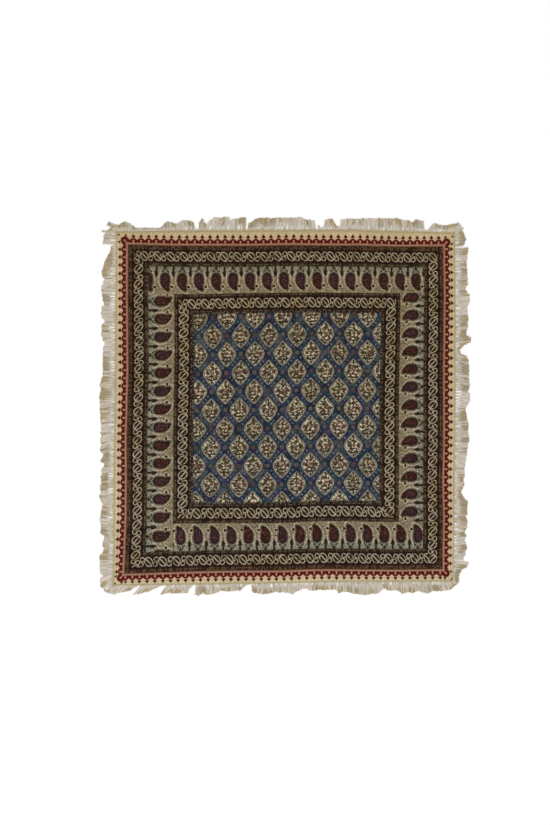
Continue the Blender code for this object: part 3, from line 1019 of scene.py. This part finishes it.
PLANS = {
    Side.TOP: SidePlan(
        lines=(
            471.2, 463, 451, 438.7, 431.7, 420.7, 415.7, 389.7, 383.7, 374.9, 304.7, 297.7, 291.3,
            264.2, 258.2, 249.7,
        ),
        marks={
            PINK_LINE: ((-390, 0), (-224, 8), (42, 21), (161, 27), (180, 28), (296, 34), (375, 38)),
            OUTER_GUARD: (
                (-345, -2), (-274, 0), (-201, 2), (-130, 4), (-57, 6), (14, 8), (51, 9), (225, 14),
                (293, 16), (328, 17),
            ),
            CONES: ((-279, -1), (-50, 4), (-5, 5), (129, 8), (218, 10)),
            INNER_GUARD: ((-253, -2), (-144, 1), (-109, 2), (-36, 4), (35, 6), (141, 9), (176, 10)),
        },
        hem=((-454, 470), (-175, 473), (175, 474), (456, 467)),
        outer_drift=((-460, 4.5), (-300, 0.5), (-100, 0), (0, 2), (200, 0.5), (300, -2), (400, -1.5)),
        inner_drift=((-250, -3), (-100, 0.5), (100, 2.5), (150, 1), (250, 0.5)),
        reach=(
            (-486, 3), (-477, 26), (-447, 17), (-441, 26), (-432, 28), (-420, 24), (-405, 10),
            (-333, 9), (-327, 22), (-318, 26), (-288, 20), (-280, 29), (-250, 29), (-245, 5), (-232, 4),
            (-228, 35), (-219, 33), (-216, 15), (-204, 24), (-196, 38), (-180, 40), (-176, 31),
            (-160, 39), (-150, 36), (-147, 26), (-135, 34), (-105, 38), (-98, 19), (-76, 35), (45, 37),
            (52, 31), (84, 26), (96, 6), (105, 5), (109, 32), (127, 32), (138, 12), (144, 11),
            (149, 31), (300, 37), (324, 30), (333, 34), (340, 25), (347, 26), (354, 36), (371, 34),
            (377, 7), (386, 5), (403, 27), (424, 19), (469, 28), (482, 12),
        ),
        lean=(
            (-450, -44), (-442, -20), (-430, 2), (-410, -5), (-330, 0), (-326, -9), (-253, -6),
            (-215, 8), (-103, 0), (-97, 4), (88, -2), (106, 6), (137, -5), (144, 2), (372, -5),
            (390, 8), (420, 4), (434, 6), (446, 30),
        ),
    ),
    Side.LEFT: SidePlan(
        lines=(
            458.8, 454.6, 443.1, 431.6, 424.3, 414.9, 408.7, 384.2, 378.7, 369.7, 300.2, 292.2, 287.7,
            261.2, 255.2, 246.2,
        ),
        marks={
            PINK_LINE: (
                (-458, -4), (-394, -1), (-310, 3), (-247, 6), (-181, 9), (-72, 14), (78, 21), (293, 31),
                (398, 36),
            ),
            OUTER_GUARD: (
                (-317, -2), (-165, 2), (-50, 5), (-12, 6), (103, 9), (178, 11), (217, 12), (292, 14),
                (368, 16),
            ),
            CONES: ((-250, 0), (-153, 2), (-55, 4), (-7, 5), (92, 7), (237, 10)),
            INNER_GUARD: ((-183, -1), (-144, 0), (-28, 3), (9, 4), (124, 7), (162, 8), (239, 10)),
        },
        hem=((-482, 462), (-190, 460), (0, 457), (470, 454)),
        outer_drift=(
            (-460, 9.5), (-300, 2.5), (-200, 1.5), (-100, 2.5), (100, -2.5), (300, -1), (400, -1.5),
        ),
        inner_drift=((-250, 2.5), (-150, 1.5), (-100, 2.5), (150, -2), (200, -1)),
        reach=(
            (-505, 8), (-497, 24), (-488, 38), (-464, 38), (-461, 31), (-446, 40), (-408, 43),
            (-386, 25), (-376, 32), (-350, 28), (-344, 39), (-326, 37), (-311, 42), (-262, 32),
            (-248, 41), (-176, 38), (-156, 28), (-152, 43), (-131, 28), (-122, 44), (-105, 39), (2, 45),
            (68, 43), (79, 36), (150, 37), (169, 32), (184, 40), (217, 41), (229, 30), (244, 43),
            (268, 40), (277, 33), (295, 41), (322, 41), (343, 34), (355, 41), (384, 36), (429, 12),
            (433, 42), (458, 37), (470, 30), (480, 20), (488, 12),
        ),
        lean=(
            (-482, -27), (-464, -15), (-450, -2), (-390, 5), (-346, 0), (-342, 4), (-162, -6),
            (-134, -12), (74, 4), (79, 1), (171, 3), (226, -4), (232, 3), (348, -2), (422, -13),
            (430, -1), (456, 3), (471, 28),
        ),
    ),
    Side.BOTTOM: SidePlan(
        lines=(
            477, 473.5, 460.8, 448.4, 441.7, 431.7, 426, 398.9, 392.9, 386, 314.4, 306.4, 301.4, 273.4,
            267.4, 258.6,
        ),
        marks={
            PINK_LINE: (
                (-379, 0), (-338, 2), (-299, 4), (-161, 11), (-40, 17), (205, 29), (286, 33), (365, 37),
                (384, 38),
            ),
            OUTER_GUARD: (
                (-351, -1), (-281, 1), (-210, 3), (-141, 5), (39, 10), (75, 11), (147, 13), (219, 15),
                (290, 17), (326, 18),
            ),
            CONES: ((-224, 0), (-179, 1), (-88, 3), (4, 5), (97, 7), (233, 10), (279, 11)),
            INNER_GUARD: ((-236, -1), (-129, 2), (-19, 5), (17, 6), (126, 9), (162, 10), (199, 11)),
        },
        hem=((-452, 471), (-100, 473), (120, 478), (462, 482)),
        outer_drift=((-400, -2), (-300, -0.5), (-100, -2.5), (0, 1), (200, 3), (460, 11.5)),
        inner_drift=((-250, -1.5), (-200, -3.5), (-100, -4), (0, 1.5), (250, 2.5)),
        reach=(
            (-472, 2), (-444, 28), (-398, 30), (-393, 37), (-357, 28), (-349, 36), (-331, 33),
            (-321, 37), (-309, 34), (-303, 25), (-280, 27), (-270, 20), (-249, 34), (-207, 39),
            (-159, 29), (-145, 33), (-138, 23), (-64, 25), (-60, 17), (-33, 25), (-24, 34), (27, 26),
            (38, 32), (84, 30), (96, 4), (108, 5), (119, 22), (158, 23), (177, 18), (182, 25),
            (205, 33), (222, 26), (235, 34), (243, 31), (246, 3), (252, 6), (264, 25), (327, 27),
            (340, 32), (342, 7), (366, 20), (414, 30), (417, 16), (465, 27), (495, 17), (503, 8),
        ),
        lean=(
            (-454, -24), (-444, -10), (-434, -2), (-312, -2), (-306, 3), (-262, 0), (-30, 2), (112, -3),
            (188, 5), (210, -8), (252, 7), (320, 17), (342, 24), (400, 20), (408, 24), (465, 30),
        ),
    ),
    Side.RIGHT: SidePlan(
        lines=(
            458.4, 455.6, 444.2, 432.2, 425.9, 417.3, 411.3, 386.9, 381.3, 372.9, 308.4, 300.9, 295.9,
            269.9, 263.4, 255.4,
        ),
        marks={
            PINK_LINE: ((-404, 0), (-298, 5), (-214, 9), (-150, 12), (22, 20), (172, 27), (363, 36)),
            OUTER_GUARD: (
                (-379, -2), (-267, 1), (-228, 2), (-154, 4), (-116, 5), (75, 10), (187, 13), (301, 16),
            ),
            CONES: ((-245, 0), (-148, 2), (95, 7), (239, 10)),
            INNER_GUARD: ((-253, -2), (-139, 1), (-22, 4), (15, 5), (93, 7), (170, 9)),
        },
        hem=((-467, 456), (-250, 458), (-60, 458), (471, 452)),
        outer_drift=((-400, 0.5), (-300, 2), (-100, 0), (100, 0.5), (200, -2), (300, 0), (400, -1)),
        inner_drift=((-250, 3.5), (0, -1), (250, -1)),
        reach=(
            (-490, 16), (-452, 33), (-442, 32), (-433, 24), (-428, 40), (-385, 34), (-328, 37),
            (-313, 26), (-309, 28), (-305, 39), (-285, 42), (-259, 33), (-245, 38), (-210, 37),
            (-202, 30), (-194, 31), (-189, 35), (-187, 47), (-178, 47), (-166, 28), (-148, 9),
            (-133, 34), (-120, 39), (-50, 42), (-43, 36), (-28, 44), (-5, 41), (5, 31), (60, 41),
            (90, 41), (167, 30), (215, 29), (230, 20), (245, 26), (256, 40), (290, 41), (296, 32),
            (305, 40), (335, 39), (341, 32), (349, 39), (365, 34), (380, 41), (392, 34), (404, 36),
            (412, 28), (424, 43), (434, 43), (437, 28), (452, 19), (475, 16), (490, 2),
        ),
        lean=(
            (-474, -18), (-462, -8), (-426, -2), (-306, 1), (-217, -2), (-191, 2), (-153, -10),
            (-142, 11), (6, -2), (156, 0), (211, -4), (216, 3), (250, -2), (256, 7), (393, -2),
            (420, 5), (446, 0), (458, 6), (469, 20),
        ),
    ),
}


@dataclass
class PrintedCloth:
    """The square of cotton with its print, lying flat on the floor.

    Sizes are in mm, but the flat size is in metres and its area in square metres. The drift
    bends are where the outer rows' drift ends and where the inner rows' begins and ends. The
    corner lean and the row fall skew the field, each in mm at the field's half width. Sides are
    counted so far apart on the print that no two blocks draw the same chances. At the foot the
    upright rows that are listed run through the corner, and elsewhere the level rows do.
    """

    PRINT_MAP = "Print"
    BAKE_MAP = "OFBake"

    face_step: float = 10.5
    sheet_thick: float = 0.9
    top_height: float = 1.12
    hem_width: float = 7.5
    hem_fold: float = 0.12
    ripple: float = 0.06
    drift_bends: tuple[float, float, float] = (385.0, 300.0, 250.0)
    medallion: tuple[float, float] = (31.2, -9.0)
    field_half: float = 180.0
    corner_lean: tuple[float, float] = (1.5, -1.0)
    row_fall: float = 0.9
    plan_apart: float = 60.0
    bake_face: tuple[float, float] = (0.47, 0.5)
    bake_back: tuple[float, float] = (0.965, 0.03)
    flat: tuple[float, float] = (0.914, 0.946)
    flat_area: float = 0.864
    upright_at_foot: tuple[tuple[Kind, Side], ...] = (
        (Kind.GUARD, Side.LEFT), (Kind.GUARD, Side.RIGHT), (Kind.BOTEH, Side.LEFT),
    )

    def cuts(self, low: Side, high: Side) -> list[float]:
        """List where the sheet is cut in one direction.

        Args:
            low: The side at the negative end.
            high: The side at the positive end.

        Returns:
            The places of the row lines and of lines between them, without the two hems.
        """
        marks = [-line for line in PLANS[low].lines] + list(reversed(PLANS[high].lines))
        places = []
        for start, end in zip(marks, marks[1:]):
            steps = max(1, round((end - start) / self.face_step))
            places += [start + (end - start) * i / steps for i in range(steps)]
        return places[1:]

    def plan_mesh(self) -> bmesh.types.BMesh:
        """Cut a flat sheet along every printed row.

        Returns:
            The flat mesh in mm, before it is laid out.
        """
        mesh = bmesh.new()
        bmesh.ops.create_grid(mesh, x_segments=1, y_segments=1, size=0.5)
        for axis, (low, high) in enumerate(ENDS):
            ends = (-PLANS[low].lines[0], PLANS[high].lines[0])
            for vertex in mesh.verts:
                vertex.co[axis] = ends[vertex.co[axis] > 0]
        for axis, (low, high) in enumerate(ENDS):
            for place in self.cuts(low, high):
                point, normal = Vector(), Vector()
                point[axis], normal[axis] = place, 1.0
                bmesh.ops.bisect_plane(
                    mesh, geom=mesh.verts[:] + mesh.edges[:] + mesh.faces[:],
                    plane_co=point, plane_no=normal, dist=1e-4,
                )
        return mesh

    def row_at(self, x: float, y: float) -> tuple[Side, int, Kind]:
        """Find which printed row a place belongs to.

        Args:
            x: Place across the cloth.
            y: Place up the cloth.

        Returns:
            The side whose row it is, the row, and the kind of block. In a corner one side's row
            runs through and the other stops.
        """
        beside, level = (ends[at >= 0] for ends, at in zip(ENDS, (x, y)))
        depths = {side: PLANS[side].row_at(side.local(x, y)[1]) for side in Side}
        row = min(depths.values())
        kind = ROWS[row]
        side = beside if depths[beside] < depths[level] else level
        if depths[beside] == depths[level] and level is Side.BOTTOM:
            side = beside if (kind, beside) in self.upright_at_foot else level
        if max(depths[beside], depths[level]) <= PINK_LINE:
            kind = Kind.CORNER
        return side, row, kind

    def chart(self, side: Side, row: int, x: float, y: float) -> tuple[float, float]:
        """Give a place its coordinates on the print.

        Args:
            side: The side whose row it is in.
            row: The row.
            x: Place across the cloth.
            y: Place up the cloth.

        Returns:
            Repeats along the row and mm across it, or medallion counts in the field.
        """
        if row == FIELD:
            lean_x, lean_y = (part * x * y / self.field_half**2 for part in self.corner_lean)
            fall = self.row_fall * x / self.field_half
            across = (x - self.medallion[0] + lean_x) / Kind.FIELD.value.across
            up = (y - self.medallion[1] - fall + lean_y) / Kind.FIELD.value.up
            return across + up, across - up
        number, out = PLANS[side].chart(row, *side.local(x, y))
        return number + self.plan_apart * (list(Side).index(side) + 1), out

    def corner_chart(self, middle: Vector, spot: Vector) -> list[float]:
        """Give a place in a hem corner its distance outwards in both directions.

        Args:
            middle: The middle of the face that it belongs to.
            spot: The place.

        Returns:
            The distance in mm across the side rows and across the level rows.
        """
        found = []
        for ends, at in zip(ENDS, middle):
            side = ends[at >= 0]
            row = PLANS[side].row_at(side.local(middle.x, middle.y)[1])
            found.append(PLANS[side].chart(row, *side.local(spot.x, spot.y))[1])
        return found

    def laid(self, x: float, y: float) -> Vector:
        """Move a place of the straight plan to where the cloth really lies.

        Args:
            x: Place across the plan, in mm.
            y: Place up the plan, in mm.

        Returns:
            The place in metres, at the height of the upper face.
        """
        moved = [x, y]
        for axis, ends in enumerate(ENDS):
            knots = []
            for side, sign in zip(ends, (-1.0, 1.0)):
                plan, along = PLANS[side], side.local(x, y)[0]
                hem = plan.hem_at(along) - plan.lines[0]
                outer = read_knots(plan.outer_drift, along)
                inner = read_knots(plan.inner_drift, along)
                places = (*plan.lines[:3], *self.drift_bends)
                drifts = (hem, (hem + outer) / 2.0, outer, outer, inner, inner)
                knots += [(sign * place, sign * drift) for place, drift in zip(places, drifts)]
            moved[axis] += read_knots(sorted(knots), (x, y)[axis])
        ripple = math.sin(x * 0.011 + 0.6) * math.sin(y * 0.013 + 1.1)
        ripple += 0.6 * math.sin(x * 0.027 - y * 0.019)
        edge = min(PLANS[side].lines[0] - side.local(x, y)[1] for side in Side)
        fold = self.hem_fold if edge < self.hem_width else 0.0
        height = self.top_height + self.ripple * ripple + fold
        return Vector((moved[0] * MM, moved[1] * MM, height * MM))

    def printed(self) -> bmesh.types.BMesh:
        """Chart the print on the sheet's upper face and lay it out.

        Returns:
            The upper face, with its two maps.
        """
        mesh = self.plan_mesh()
        chart = mesh.loops.layers.uv.new(self.PRINT_MAP)
        bake = mesh.loops.layers.uv.new(self.BAKE_MAP)
        for face in mesh.faces:
            middle = face.calc_center_median()
            side, row, kind = self.row_at(middle.x, middle.y)
            face.material_index = list(Kind).index(kind)
            face.smooth = True
            for loop in face.loops:
                spot = loop.vert.co
                if kind is Kind.CORNER:
                    loop[chart].uv = self.corner_chart(middle, spot)
                else:
                    loop[chart].uv = self.chart(side, row, spot.x, spot.y)
        for vertex in mesh.verts:
            vertex.co = self.laid(vertex.co.x, vertex.co.y)
        for face in mesh.faces:
            for loop in face.loops:
                loop[bake].uv = loop.vert.co.xy + Vector(self.bake_face)
        return mesh

    def build(self) -> bpy.types.Object:
        """Make the sheet: the printed face, and under it the plain one at its thickness.

        Returns:
            The finished piece.
        """
        mesh = self.printed()
        chart, bake = (mesh.loops.layers.uv[name] for name in (self.PRINT_MAP, self.BAKE_MAP))
        upper = mesh.faces[:]
        if upper[0].normal.z < 0:
            bmesh.ops.reverse_faces(mesh, faces=upper)
        made = bmesh.ops.extrude_face_region(mesh, geom=upper, use_keep_orig=True)["geom"]
        sunk = [item for item in made if isinstance(item, bmesh.types.BMVert)]
        bmesh.ops.translate(mesh, verts=sunk, vec=(0.0, 0.0, -self.sheet_thick * MM))
        kept, lower, kinds = set(upper), set(made), list(Kind)
        start, width = self.bake_back
        for face in mesh.faces:
            if face in kept:
                continue
            dark = float(face in lower and kinds[face.material_index] is not Kind.HEM)
            face.material_index = kinds.index(Kind.BACK)
            for loop in face.loops:
                loop[chart].uv = (dark, 0.0)
                spot = loop.vert.co.xy + Vector(self.bake_face)
                loop[bake].uv = (start + spot.x * width, spot.y)
        bmesh.ops.recalc_face_normals(mesh, faces=mesh.faces)
        cloth = shaped("printed_cloth", mesh, (kind.value.material() for kind in Kind))
        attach(cloth, "root")
        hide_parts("cloth")
        return cloth


@dataclass
class Fringe:
    """The fringe along one side: a narrow tape with twisted yarns sewn to it, their ends opened.

    Sizes are in mm. STITCH has a stitch's points as (along, out, height) from the yarn's root,
    and FIBRES says how the fibres of an opened end lie side by side. The lean window is the half
    width over which the yarns' fanning is measured.
    """

    ALONG = "along"
    TINT = "tint"
    CAPS = 2
    STITCH = ((-1.0, -3.0, 1.15), (-0.7, -1.4, 1.75), (0.3, 1.6, 1.85), (0.9, 3.0, 0.8))
    FIBRES = (-1.4, -0.5, 0.5, 1.4)

    side: Side
    yarn_pitch: float = 6.8
    lean_window: float = 7.0
    tape_width: float = 3.0
    tape_thick: float = 1.5
    tape_faces: tuple[int, int] = (150, 3)
    tape_flare: float = 1.9
    tape_rounding: float = 0.35
    seam_gap: float = 0.1
    ply_radius: float = 1.3
    ply_offset: float = 0.95
    ply_rise: float = 0.22
    ply_loosening: float = 0.12
    soft_radius: float = 1.9
    twist: float = 13.0
    stitch_radius: float = 0.3
    root_height: float = 1.35
    end_length: float = 2.6
    least_reach: float = 3.5
    short_reach: float = 14.0
    soft_gap: float = 15.0
    lock_chance: float = 0.3
    points: int = 13
    floor_gap: float = 0.15
    half_width: float = 505.0
    half_length: float = 513.0

    def strand_paths(self, chance: random.Random) -> Iterable[tuple[list[Vector], bool]]:
        """Lay out the middle line of every yarn.

        Args:
            chance: The seeded source of small differences.

        Yields:
            The points in mm in the side's view, and whether the strand is the loose cotton
            between the outer halves of two yarns.
        """
        plan = PLANS[self.side]
        root, aside, window = plan.hem[0][0] + 1.0, 1.0, self.lean_window
        before: Optional[list[Vector]] = None
        while root < plan.hem[-1][0] - 1.0:
            spread = read_knots(plan.lean, root + window) - read_knots(plan.lean, root - window)
            lean = sum(read_knots(plan.lean, root + shift) for shift in (-6.0, 0.0, 6.0)) / 3.0
            lean += aside * chance.uniform(0.0, 1.6)
            reach = max(self.least_reach, read_knots(plan.reach, root + lean))
            reach *= chance.uniform(0.90, 1.0)
            path = self.path(root, reach, lean, chance)
            yield path, False
            if before is not None and (path[-1] - before[-1]).length < self.soft_gap:
                start = chance.choice((1, 3, 4, 6))
                between = [(a + b) * 0.5 for a, b in zip(before[start:], path[start:])]
                yield between, True
            before, aside = path, -aside
            fanned = max(1.0, 1.0 + spread / (2.0 * window))
            root += self.yarn_pitch * chance.uniform(0.75, 1.25) / fanned

    def path(self, root: float, reach: float, lean: float, chance: random.Random) -> list[Vector]:
        """Draw one yarn's middle line.

        Args:
            root: Where it leaves the tape.
            reach: How far out it goes.
            lean: How far along its end is from its root.
            chance: The seeded source of small differences.

        Returns:
            Points from the tape to the yarn's end.
        """
        phase, swing = chance.uniform(0.0, 6.28), chance.uniform(0.15, 0.55)
        lift = chance.uniform(0.0, 1.3)
        start = PLANS[self.side].hem_at(root) + self.seam_gap + 1.2
        points = []
        for number in range(self.points):
            share = number / (self.points - 1)
            sway = lean * share * (0.8 + 0.2 * share)
            sway += swing * math.sin(share * 7.0 + phase) * share
            out = start + (reach - self.end_length) * share
            height = self.root_height + lift * math.sin(share * math.pi) - 0.2 * share
            points.append(Vector((root + sway, out, height)))
        return points

    def ply(self, path: Sequence[Vector], phase: float) -> Strand:
        """Wind one ply around a yarn's middle line.

        Args:
            path: The middle line, in mm in the side's view.
            phase: Where round the line the ply starts.

        Returns:
            Points with the radius at each.
        """
        wound, run = [], 0.0
        for number, point in enumerate(path):
            if number:
                run += (point - path[number - 1]).length
            turn = phase + run / self.twist * 2.0 * math.pi
            loose = 1.0 + self.ply_loosening * number / (len(path) - 1)
            across, up = math.cos(turn) * self.ply_offset * loose, math.sin(turn) * self.ply_rise
            wound.append((point + Vector((across, 0.0, up)), self.ply_radius * loose))
        return wound

    def fray(self, path: Sequence[Vector], chance: random.Random) -> Iterable[Strand]:
        """Open the yarn's end into a few curling fibres.

        Args:
            path: The yarn's middle line.
            chance: The seeded source of small differences.

        Yields:
            The points of each fibre with the radius at each.
        """
        tip, heading = path[-1], (path[-1] - path[-3]).normalized()
        aside = Vector((heading.y, -heading.x, 0.0))
        for spread in self.FIBRES:
            curl, length = chance.uniform(-1.0, 1.0), chance.uniform(2.0, 4.4)
            fibre = []
            for share in (0.0, 1.0 / 3.0, 2.0 / 3.0, 1.0):
                off = spread * (0.8 + 0.9 * share) + curl * 1.8 * share * share
                spot = tip + heading * (length * share - 1.6) + aside * off
                fibre.append((spot, 0.95 - 0.5 * share))
            yield fibre

    def settled(self, along: float, out: float, height: float) -> Vector:
        """Turn a point of the side's view to metres, kept within the fringe's reach.

        Args:
            along: Its place along the side, in mm.
            out: Its place outwards.
            height: Its height over the floor.

        Returns:
            The point on the cloth.
        """
        x, y = self.side.world(along, out)
        x = min(self.half_width, max(-self.half_width, x))
        y = min(self.half_length, max(-self.half_length, y))
        return Vector((x * MM, y * MM, max(self.floor_gap, height) * MM))

    def strands(self) -> Iterable[tuple[float, Strand]]:
        """Make every strand and stitch of the side.

        Yields:
            A strand's tint, and its points in the side's view with the radius at each.
        """
        chance = random.Random(f"fringe {self.side.name.lower()}")
        lock = 0.5
        for path, soft in self.strand_paths(chance):
            phase = chance.uniform(0.0, 6.28)
            if chance.random() < self.lock_chance:
                lock = chance.uniform(0.6, 1.0) if lock < 0.55 else chance.uniform(0.0, 0.3)
            if soft:
                steps = len(path) - 1
                radii = [self.soft_radius * (0.35 + 0.65 * i / steps) for i in range(steps + 1)]
                made = [list(zip(path, radii))]
            else:
                made = [self.ply(path, phase), self.ply(path, phase + math.pi)]
            made += list(self.fray(path, chance))
            made.append([
                (Vector((path[0].x + shift, path[0].y + out, high)), self.stitch_radius)
                for shift, out, high in self.STITCH
            ])
            tint = lock * 0.85 + chance.random() * 0.15
            for strand in made:
                yield tint, strand

    def yarns(self) -> bpy.types.Mesh:
        """Turn the strands into one mesh that knows each strand's tint.

        Returns:
            The mesh, in metres.
        """
        curve = bpy.data.curves.new("yarn_line", "CURVE")
        curve.dimensions = "3D"
        curve.bevel_depth = 1.0
        curve.bevel_resolution = 1
        curve.use_fill_caps = True
        tints: list[float] = []
        for tint, strand in self.strands():
            tints += [tint] * (len(strand) + self.CAPS)
            line = curve.splines.new("POLY")
            line.points.add(len(strand) - 1)
            for knot, (spot, radius) in zip(line.points, strand):
                knot.co = (*self.settled(spot.x, spot.y, max(spot.z, radius)), 1.0)
                knot.radius = radius * MM
        holder = linked("yarn_line", curve)
        bpy.context.view_layer.update()
        graph = bpy.context.evaluated_depsgraph_get()
        data = bpy.data.meshes.new_from_object(holder.evaluated_get(graph))
        bpy.data.objects.remove(holder)
        bpy.data.curves.remove(curve)
        ring = len(data.vertices) // len(tints)
        shade = data.attributes.new(self.TINT, "FLOAT", "POINT")
        shade.data.foreach_set("value", [tint for tint in tints for _ in range(ring)])
        return data

    def tape(self, mesh: bmesh.types.BMesh) -> None:
        """Add the narrow tape that the yarns are sewn to.

        Args:
            mesh: The mesh that it joins.
        """
        before = set(mesh.verts)
        plan = PLANS[self.side]
        start, end = plan.hem[0][0], plan.hem[-1][0]
        lengths, widths = self.tape_faces
        made = bmesh.ops.create_grid(mesh, x_segments=lengths, y_segments=widths, size=0.5)
        faces = list({face for vertex in made["verts"] for face in vertex.link_faces})
        raised = bmesh.ops.extrude_face_region(mesh, geom=faces, use_keep_orig=True)
        for item in raised["geom"]:
            if isinstance(item, bmesh.types.BMVert):
                item.co.z = 1.0
        for vertex in set(mesh.verts) - before:
            across = vertex.co.y + 0.5
            out = self.seam_gap + self.tape_width * across
            along = start + (end - start) * (vertex.co.x + 0.5)
            along += out * self.tape_flare * vertex.co.x
            rounding = 1.0 - self.tape_rounding * (2.0 * across - 1.0) ** 2
            height = self.floor_gap + vertex.co.z * (self.tape_thick - self.floor_gap) * rounding
            place = min(max(along, start), end)
            vertex.co = self.settled(along, plan.hem_at(place) + out, height)

    def build(self) -> bpy.types.Object:
        """Make the side's fringe.

        Returns:
            The finished piece.
        """
        plan, label = PLANS[self.side], self.side.name.lower()
        yarns = self.yarns()
        mesh = bmesh.new()
        mesh.from_mesh(yarns)
        bpy.data.meshes.remove(yarns)
        self.tape(mesh)
        bmesh.ops.recalc_face_normals(mesh, faces=mesh.faces)
        for face in mesh.faces:
            face.smooth = True
            face.material_index = 0
        far = mesh.verts.layers.float.new(self.ALONG)
        for vertex in mesh.verts:
            along, out = self.side.local(vertex.co.x / MM, vertex.co.y / MM)
            reach = max(self.short_reach, read_knots(plan.reach, along))
            vertex[far] = (out - plan.hem_at(along)) / reach
        name = f"yarn_fringe_{label}"
        fringe = shaped(name, mesh, [YarnFinish(name + "_cotton").material()])
        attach(fringe, "root")
        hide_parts(f"fringe_{label}")
        return fringe


@dataclass
class Studio:
    """The plain floor, the soft light and the camera straight above."""

    camera_at: tuple[float, float] = (-0.027, -0.0175)
    frame_height: float = 2.2275
    lens: float = 85.0
    sensor: float = 36.0
    far: float = 60.0
    floor_size: float = 9.0
    sky: float = 0.8

    def floor(self) -> None:
        """Lay the floor."""
        mesh = bmesh.new()
        bmesh.ops.create_grid(mesh, x_segments=6, y_segments=6, size=self.floor_size / 2.0)
        graph = Graph("pale_floor")
        uneven = graph.cloud(60.0, 2.0).times_plus(0.02, 0.99)
        looks = {"Base Color": graph.scaled(Dye.FLOOR.rgba[:3], uneven), **FLOOR_SHEEN}
        shaped("studio_floor", mesh, [graph.surface(looks)])

    def lamp(self, name: str, place: tuple[float, float, float], size: float, power: float) -> None:
        """Hang one soft lamp that shines at the cloth.

        Args:
            name: The lamp's name.
            place: Where it hangs, in metres.
            size: The side of its square face.
            power: Its power in watts.
        """
        light = bpy.data.lights.new(name, "AREA")
        light.energy = power
        light.size = size
        lamp = linked(name, light)
        lamp.location = place
        lamp.rotation_euler = (-Vector(place)).to_track_quat("-Z", "Y").to_euler()
        lamp.visible_camera = False

    def camera(self) -> None:
        """Hang the camera above the cloth, looking straight down."""
        data = bpy.data.cameras.new("camera")
        data.lens = self.lens
        data.sensor_width = self.sensor
        data.clip_end = self.far
        camera = linked("camera", data)
        camera.location = (*self.camera_at, self.frame_height * self.lens / self.sensor)
        bpy.context.scene.camera = camera

    def build(self) -> None:
        """Set up the whole studio."""
        scene = bpy.context.scene
        scene.world = bpy.data.worlds.new("studio_light")
        scene.world.use_nodes = True
        background = scene.world.node_tree.nodes["Background"]
        background.inputs[0].default_value = (1.0, 1.0, 1.0, 1.0)
        background.inputs[1].default_value = self.sky
        scene.view_settings.view_transform = "Standard"
        self.floor()
        self.lamp("key_lamp", (-2.6, -2.8, 3.6), 2.4, 84.0)
        self.lamp("fill_lamp", (2.8, 2.2, 4.0), 2.4, 24.0)
        self.camera()


def main() -> None:
    """Build every piece and report it."""
    logging.basicConfig(level=logging.INFO, format="%(message)s")
    cloth_maker = PrintedCloth()
    cloth = cloth_maker.build()
    fringes = [Fringe(side).build() for side in Side]
    for piece in (cloth, *fringes):
        LOG.info("%s: %d faces", piece.name, len(piece.data.polygons))
    Studio().build()


if __name__ == "__main__":
    main()
